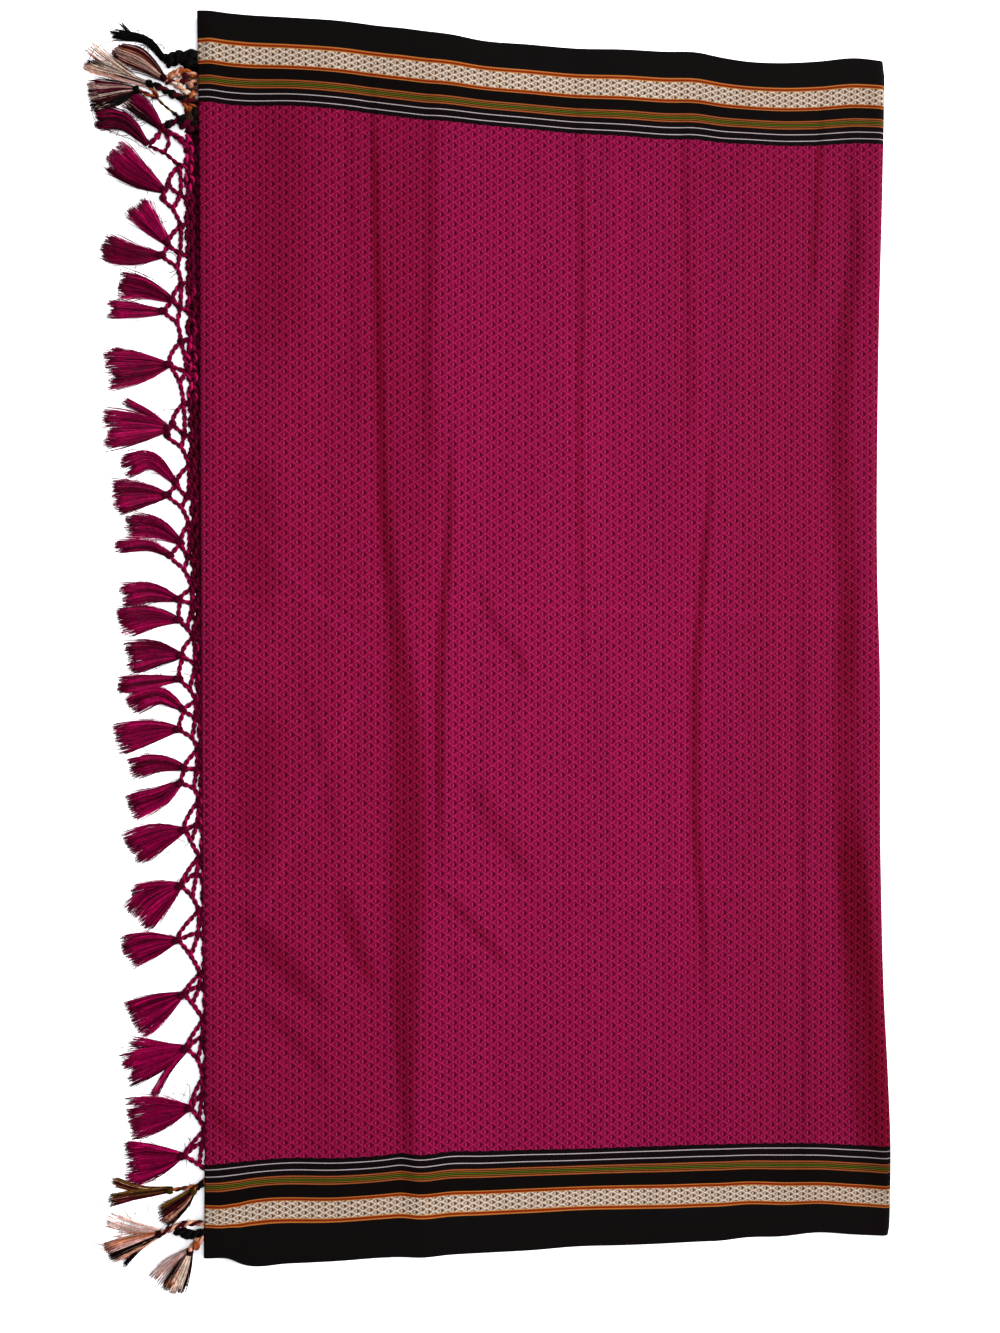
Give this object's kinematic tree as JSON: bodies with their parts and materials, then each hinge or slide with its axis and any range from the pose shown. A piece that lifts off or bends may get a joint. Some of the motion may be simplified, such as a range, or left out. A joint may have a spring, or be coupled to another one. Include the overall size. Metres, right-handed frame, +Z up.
{
  "type": "dupatta stole",
  "caption": "Woven dupatta stole folded flat in layers, with striped borders along both selvedges and knotted, tasselled fringes out at one fold.",
  "frame": {"origin": "middle of the outline, on the surface that the folded cloth lies on", "axes": "+Z up from the surface, +Y across the cloth towards the upper selvedge, +X from the fringed ends towards the double fold"},
  "size_m": [0.6061, 0.9368, 0.0078],
  "materials": {
    "magenta_weave": "matte",
    "black_border": "matte",
    "plum_cord": "satin",
    "magenta_thread": "satin",
    "plum_thread": "satin",
    "black_thread": "satin",
    "peach_thread": "satin",
    "mixed_thread": "satin",
    "olive_thread": "satin"
  },
  "bodies": {
    "root": {"top_layer": "magenta_weave", "hidden_layers": "black_border", "fringe_net": "plum_cord", "tassel_01": "black_thread", "tassel_02": "peach_thread", "tassel_03": "mixed_thread", "tassel_04": "mixed_thread", "tassel_05": "plum_thread", "tassel_06": "plum_thread", "tassel_07": "magenta_thread", "tassel_08": "magenta_thread", "tassel_09": "magenta_thread", "tassel_10": "magenta_thread", "tassel_11": "magenta_thread", "tassel_12": "magenta_thread", "tassel_13": "magenta_thread", "tassel_14": "magenta_thread", "tassel_15": "magenta_thread", "tassel_16": "magenta_thread", "tassel_17": "magenta_thread", "tassel_18": "magenta_thread", "tassel_19": "magenta_thread", "tassel_20": "magenta_thread", "tassel_21": "magenta_thread", "tassel_22": "magenta_thread", "tassel_23": "magenta_thread", "tassel_24": "magenta_thread", "tassel_25": "magenta_thread", "tassel_26": "magenta_thread", "tassel_27": "magenta_thread", "tassel_28": "magenta_thread", "tassel_29": "magenta_thread", "tassel_30": "magenta_thread", "tassel_31": "magenta_thread", "tassel_32": "magenta_thread", "tassel_33": "olive_thread", "tassel_34": "olive_thread", "tassel_35": "peach_thread", "tassel_36": "peach_thread"}
  },
  "joints": []
}
